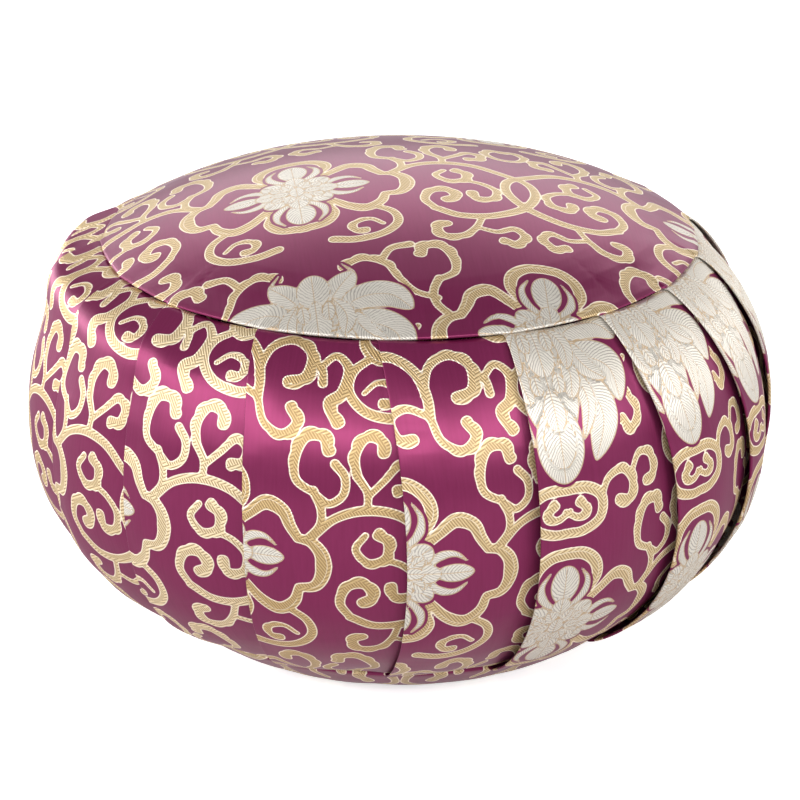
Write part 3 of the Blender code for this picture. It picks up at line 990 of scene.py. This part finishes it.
base_points = panel_points(BASE_STEP, BOTTOM_SEAM_RADIUS, 0.0, base_height, -1.0)[:, ::-1]
base_flat = flat_cut(base_points, 0.0, (0.0, 0.0), (0.0, 0.0)) * np.array((-1.0, 1.0))
bottom_panel = cloth_piece("bottom_round", swollen(base_points), base_flat, PANEL_PAINTED_LIGHT)
print("panel points:", len(top_panel.data.vertices), len(bottom_panel.data.vertices))

# %% [markdown]
# The finish is one brocade. The satin ground has long floating threads: it is smooth, its gloss has
# the colour of the silk, and fine streaks run with the warp. The gold figures are bound in twill,
# which shows as slanting lines, inside a pale outline with a second pale line along one side. The
# silver petals are hatched from a mid rib. All of this is drawn from the distances that the mesh
# carries. A few small helpers keep the node tree readable.

# %% Helpers for the node tree
def value_of(tree, source, socket):
    """Join a source to a socket: a node's output, or a plain number or colour."""
    if isinstance(source, bpy.types.NodeSocket):
        tree.links.new(source, socket)
    else:
        socket.default_value = source


def math_node(tree, operation, first, second=0.0, third=0.0):
    """One step of arithmetic, as its output."""
    node = tree.nodes.new("ShaderNodeMath")
    node.operation = operation
    for source, socket in zip((first, second, third), node.inputs):
        value_of(tree, source, socket)
    return node.outputs[0]


def times(tree, first, second):
    """The product of two numbers."""
    return math_node(tree, "MULTIPLY", first, second)


def ramp(tree, value, low, high):
    """0 below low, 1 above high and a smooth step between."""
    node = tree.nodes.new("ShaderNodeMapRange")
    node.interpolation_type = "SMOOTHSTEP"
    value_of(tree, value, node.inputs["Value"])
    node.inputs["From Min"].default_value = low
    node.inputs["From Max"].default_value = high
    return node.outputs["Result"]


def mixed(tree, share, first, second):
    """Two colours mixed by a share."""
    node = tree.nodes.new("ShaderNodeMix")
    node.data_type = "RGBA"
    value_of(tree, share, node.inputs[0])
    value_of(tree, first, node.inputs[6])
    value_of(tree, second, node.inputs[7])
    return node.outputs[2]


def blended(tree, share, first, second):
    """Two numbers mixed by a share."""
    node = tree.nodes.new("ShaderNodeMix")
    node.data_type = "FLOAT"
    value_of(tree, share, node.inputs[0])
    value_of(tree, first, node.inputs[2])
    value_of(tree, second, node.inputs[3])
    return node.outputs[0]


def attribute_parts(tree, name):
    """The three numbers of a vector attribute."""
    attribute = tree.nodes.new("ShaderNodeAttribute")
    attribute.attribute_name = name
    parts = tree.nodes.new("ShaderNodeSeparateXYZ")
    tree.links.new(attribute.outputs["Vector"], parts.inputs[0])
    return parts.outputs


# %% [markdown]
# The node group returns colour, roughness, metal and height. Lengths on the figures are in
# millimetres, and the twill's pitch is in metres, because it is read from the cloth's UV.

# %% The brocade's node group
GROUND = (0.160, 0.0115, 0.060, 1.0)
GROUND_LIGHT = (0.205, 0.017, 0.082, 1.0)
# The gold's painted shade and painted highlight: one gold, darker where it is meant to look turned from
# the lamps and paler where it is meant to catch them.
GOLD_PAINTED_SHADE = (0.50, 0.33, 0.13, 1.0)
GOLD_PAINTED_HIGHLIGHT = (0.84, 0.70, 0.46, 1.0)
GOLD_DARK = (0.29, 0.18, 0.075, 1.0)
CREAM = (0.86, 0.75, 0.60, 1.0)
SILVER = (0.70, 0.66, 0.59, 1.0)
SILVER_DARK = (0.22, 0.18, 0.17, 1.0)
OUTLINE_GOLD = (0.52, 0.38, 0.24, 1.0)
STREAK_SCALE = (900.0, 60.0, 1.0)
TWILL_PITCH = 0.0013
TWILL_SLANT = 0.7
TWILL_DARKNESS = 0.75
RIM_TWILL_PITCH = 1.2 * TWILL_PITCH
RIM_TWILL_SLANT = 0.5
RIM_WIDTH = 2.0
RIM_LINE_STRENGTH = 0.7
OUTLINE_WIDTH = 0.5
HATCH_PITCH = 1.3
HATCH_DARKNESS = 0.55
SILVER_CLEARANCE = 1.2
SOFTNESS = 0.10
DEPTH_OF_BINDING = 0.6
STREAK_HEIGHT = 0.2
GROUND_ROUGHNESS, GOLD_ROUGHNESS, SILVER_ROUGHNESS = 0.43, 0.52, 0.55
GROUND_METAL, FIGURE_METAL = 0.60, 0.64


def lines(tree, place, pitch, share):
    """Thin even lines across a running measure, each a share of the pitch: 1 on a line."""
    saw = math_node(tree, "FRACT", math_node(tree, "DIVIDE", place, pitch))
    off_middle = math_node(tree, "ABSOLUTE", math_node(tree, "SUBTRACT", saw, 0.5))
    return ramp(tree, off_middle, 0.5 - share, 0.5 - 0.3 * share)


def below(tree, value, limit, softness):
    """1 where a value is below a limit."""
    return math_node(tree, "SUBTRACT", 1.0, ramp(tree, value, limit - softness, limit + softness))


def near(tree, value, centre, reach, softness):
    """1 where a value is within reach of a centre."""
    off = math_node(tree, "ABSOLUTE", math_node(tree, "SUBTRACT", value, centre))
    return below(tree, off, reach, softness)


def gold_thread(tree, gold, side, uv):
    """Colour of the gold figures and how deep their threads lie."""
    # The gold's colour is mixed from its painted shade to its painted highlight by the piece's painted
    # light.
    painted_light = tree.nodes.new("ShaderNodeAttribute")
    painted_light.attribute_name = GOLD_PAINTED_LIGHT
    painted_gold = mixed(tree, painted_light.outputs["Fac"], GOLD_PAINTED_SHADE, GOLD_PAINTED_HIGHLIGHT)
    rim = times(tree, below(tree, gold, RIM_WIDTH, 0.1), ramp(tree, side, 0.0, 0.3))
    across, along = uv.outputs["X"], uv.outputs["Y"]
    rising = math_node(tree, "ADD", across, times(tree, along, TWILL_SLANT))
    falling = math_node(tree, "SUBTRACT", times(tree, across, RIM_TWILL_SLANT), along)
    body_twill = lines(tree, rising, TWILL_PITCH, 0.42)
    rim_twill = lines(tree, falling, RIM_TWILL_PITCH, 0.3)
    twill = blended(tree, rim, body_twill, rim_twill)
    colour = mixed(tree, times(tree, twill, TWILL_DARKNESS), painted_gold, GOLD_DARK)
    rim_line = times(tree, near(tree, gold, RIM_WIDTH, 0.14, 0.12), ramp(tree, side, 0.2, 0.5))
    colour = mixed(tree, times(tree, rim_line, RIM_LINE_STRENGTH), colour, CREAM)
    colour = mixed(tree, below(tree, gold, OUTLINE_WIDTH, 0.15), colour, CREAM)
    return colour, twill


def silver_thread(tree, edge, vein, rib):
    """Colour of the silver figures and how deep their threads lie."""
    hatch = lines(tree, vein, HATCH_PITCH, 0.24)
    mid_rib = below(tree, math_node(tree, "ABSOLUTE", rib), 0.16, 0.14)
    outline = near(tree, edge, 0.25, 0.18, 0.12)
    colour = mixed(tree, times(tree, hatch, HATCH_DARKNESS), SILVER, SILVER_DARK)
    drawn = math_node(tree, "MAXIMUM", mid_rib, outline)
    return mixed(tree, drawn, colour, OUTLINE_GOLD), math_node(tree, "MAXIMUM", hatch, drawn)


def brocade_group():
    """The group that draws the brocade."""
    tree = bpy.data.node_groups.new("brocade_figures", "ShaderNodeTree")
    tree.interface.new_socket(name="Color", in_out="OUTPUT", socket_type="NodeSocketColor")
    for name in ("Roughness", "Metallic", "Height"):
        tree.interface.new_socket(name=name, in_out="OUTPUT", socket_type="NodeSocketFloat")
    out = tree.nodes.new("NodeGroupOutput")
    gold, side, rib = attribute_parts(tree, "figure_gold")
    silver, edge, vein = attribute_parts(tree, "figure_silver")
    uv_map = tree.nodes.new("ShaderNodeUVMap")
    uv_map.uv_map = CLOTH_UV
    uv = tree.nodes.new("ShaderNodeSeparateXYZ")
    tree.links.new(uv_map.outputs["UV"], uv.inputs[0])

    streaks = tree.nodes.new("ShaderNodeTexNoise")
    streaks.inputs["Scale"].default_value = 1.0
    stretch = tree.nodes.new("ShaderNodeMapping")
    stretch.inputs["Scale"].default_value = STREAK_SCALE
    tree.links.new(uv_map.outputs["UV"], stretch.inputs["Vector"])
    tree.links.new(stretch.outputs["Vector"], streaks.inputs["Vector"])
    ground = mixed(tree, streaks.outputs["Fac"], GROUND, GROUND_LIGHT)

    silver_mask = ramp(tree, silver, -SOFTNESS, SOFTNESS)
    clear_of_silver = below(tree, silver, -SILVER_CLEARANCE, SOFTNESS)
    gold_mask = times(tree, ramp(tree, gold, -SOFTNESS, SOFTNESS), clear_of_silver)
    gold_colour, gold_depth = gold_thread(tree, gold, side, uv)
    silver_colour, silver_depth = silver_thread(tree, edge, vein, rib)
    colour = mixed(tree, gold_mask, ground, gold_colour)
    colour = mixed(tree, silver_mask, colour, silver_colour)

    figured = math_node(tree, "MAXIMUM", gold_mask, silver_mask)
    depth = times(tree, blended(tree, silver_mask, gold_depth, silver_depth), figured)
    height = math_node(tree, "SUBTRACT", figured, times(tree, depth, DEPTH_OF_BINDING))
    height = math_node(tree, "ADD", height, times(tree, streaks.outputs["Fac"], STREAK_HEIGHT))
    value_of(tree, colour, out.inputs["Color"])
    gloss = blended(tree, gold_mask, GROUND_ROUGHNESS, GOLD_ROUGHNESS)
    gloss = blended(tree, silver_mask, gloss, SILVER_ROUGHNESS)
    value_of(tree, gloss, out.inputs["Roughness"])
    value_of(tree, blended(tree, figured, GROUND_METAL, FIGURE_METAL), out.inputs["Metallic"])
    value_of(tree, height, out.inputs["Height"])
    return tree


BROCADE_GROUP = brocade_group()
print("nodes in the brocade group:", len(BROCADE_GROUP.nodes))

# %% [markdown]
# One material serves every piece. Its gloss is stretched by a tangent from the cloth's own UV, so
# it turns with the threads, and the figures stand up a little through bump.

# %% The brocade material
THREAD_HEIGHT = 0.00018
SATIN_STRETCH = 0.8


def brocade_material(name):
    """Brocade cloth, with its gloss stretched across the warp threads."""
    material = plain_material(name, GROUND, GROUND_ROUGHNESS)
    tree, shader = material.node_tree, shader_of(material)
    shader.inputs["Anisotropic"].default_value = SATIN_STRETCH
    across = tree.nodes.new("ShaderNodeTangent")
    across.direction_type = "UV_MAP"
    across.uv_map = CLOTH_UV
    tree.links.new(across.outputs["Tangent"], shader.inputs["Tangent"])
    figures = tree.nodes.new("ShaderNodeGroup")
    figures.node_tree = BROCADE_GROUP
    bump = tree.nodes.new("ShaderNodeBump")
    bump.inputs["Distance"].default_value = THREAD_HEIGHT
    tree.links.new(figures.outputs["Color"], shader.inputs["Base Color"])
    tree.links.new(figures.outputs["Roughness"], shader.inputs["Roughness"])
    tree.links.new(figures.outputs["Metallic"], shader.inputs["Metallic"])
    tree.links.new(figures.outputs["Height"], bump.inputs["Height"])
    tree.links.new(bump.outputs["Normal"], shader.inputs["Normal"])
    return material


brocade = brocade_material("plum_brocade")
for piece in pleats + [top_panel, bottom_panel]:
    piece.data.materials.clear()
    piece.data.materials.append(brocade)

# %% [markdown]
# Every piece rides on the one body, and the solid that it stands for is hidden.

# %% Tying the pieces to the body
for piece, node in [(pleat, "side_band") for pleat in pleats] + [
    (top_panel, "top_panel"),
    (bottom_panel, "bottom_panel"),
]:
    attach(piece, "root")
    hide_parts(node)
